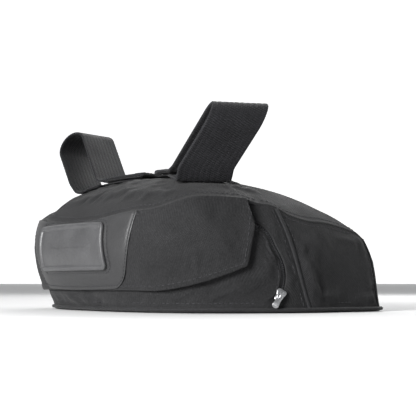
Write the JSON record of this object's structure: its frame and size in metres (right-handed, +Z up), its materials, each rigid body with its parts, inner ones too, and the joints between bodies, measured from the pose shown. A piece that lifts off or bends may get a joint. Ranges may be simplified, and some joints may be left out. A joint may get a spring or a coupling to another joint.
{
  "type": "tail bag",
  "caption": "Low rounded fabric bag that straps under a motorcycle's rear rack, with a wrap-round zip, a storm flap over it and a smooth nose patch.",
  "frame": {"origin": "middle of the bag's footprint, on the flat base", "axes": "+Z up; the rounded nose faces -Y, the rear of the motorcycle; +X is the bag's right hand side, looking forwards along +Y"},
  "size_m": [0.2562, 0.1826, 0.1358],
  "materials": {
    "cloth": "matte",
    "base_cloth": "matte",
    "board": "matte",
    "foam": "matte",
    "piping": "satin",
    "zip_tape": "matte",
    "zip_coil": "satin",
    "zip_metal": "satin",
    "leather": "satin",
    "badge": "satin",
    "thread": "satin",
    "webbing": "satin",
    "hook_loop": "matte"
  },
  "bodies": {
    "shell": {"base_panel": "base_cloth", "base_board": "board", "base_piping": "piping", "front_wall": "cloth", "upper_wall": "cloth", "front_foam": "foam", "back_wall": "cloth", "back_foam": "foam", "top_panel": "cloth", "top_foam": "foam", "zip_tape_upper": "zip_tape", "zip_tape_lower": "zip_tape", "zip_coil_upper": "zip_coil", "zip_coil_lower": "zip_coil", "zip_stops": "zip_metal", "flap_seam": "cloth", "corner_panel_right": "cloth", "corner_panel_left": "cloth", "side_panel_right": "cloth", "side_panel_left": "cloth", "side_foam_right": "foam", "side_foam_left": "foam", "flap_wing_right": "cloth", "flap_wing_left": "cloth", "flap_bar_tack_right": "thread", "flap_bar_tack_left": "thread", "strap_right": "webbing", "strap_left": "webbing", "loop_tape_right": "hook_loop", "loop_tape_left": "hook_loop"},
    "flap": {"flap_panel": "cloth", "flap_stiffener": "board", "nose_patch": "leather", "badge": "badge"},
    "slider": {"zip_slider": "zip_metal"},
    "pull": {"zip_pull": "zip_metal"},
    "strap_end_right": {"strap_tail_right": "webbing", "hook_tape_right": "hook_loop"},
    "strap_end_left": {"strap_tail_left": "webbing", "hook_tape_left": "hook_loop"}
  },
  "joints": [
    {"name": "flap_lift", "type": "hinge", "parent": "shell", "child": "flap", "pos_m": [0, -0.079, 0.062], "axis": [-1, 0, 0], "range_deg": [0, 40]},
    {"name": "zip_travel", "type": "hinge", "parent": "shell", "child": "slider", "pos_m": [0.11379, -0.02267, 0.02477], "axis": [0.9526, -0.2943, 0.077], "range_deg": [0, 64]},
    {"name": "pull_swing", "type": "hinge", "parent": "slider", "child": "pull", "pos_m": [0.12298, -0.00205, 0.01189], "axis": [-0.3199, -0.7863, 0.5285], "range_deg": [0, 140]},
    {"name": "strap_right_peel", "type": "hinge", "parent": "shell", "child": "strap_end_right", "pos_m": [0.0538, -0.02065, 0.09377], "axis": [0.342, 0.9397, 0], "range_deg": [0, 75]},
    {"name": "strap_left_peel", "type": "hinge", "parent": "shell", "child": "strap_end_left", "pos_m": [-0.0538, -0.02065, 0.09377], "axis": [0.342, -0.9397, 0], "range_deg": [0, 75]}
  ]
}
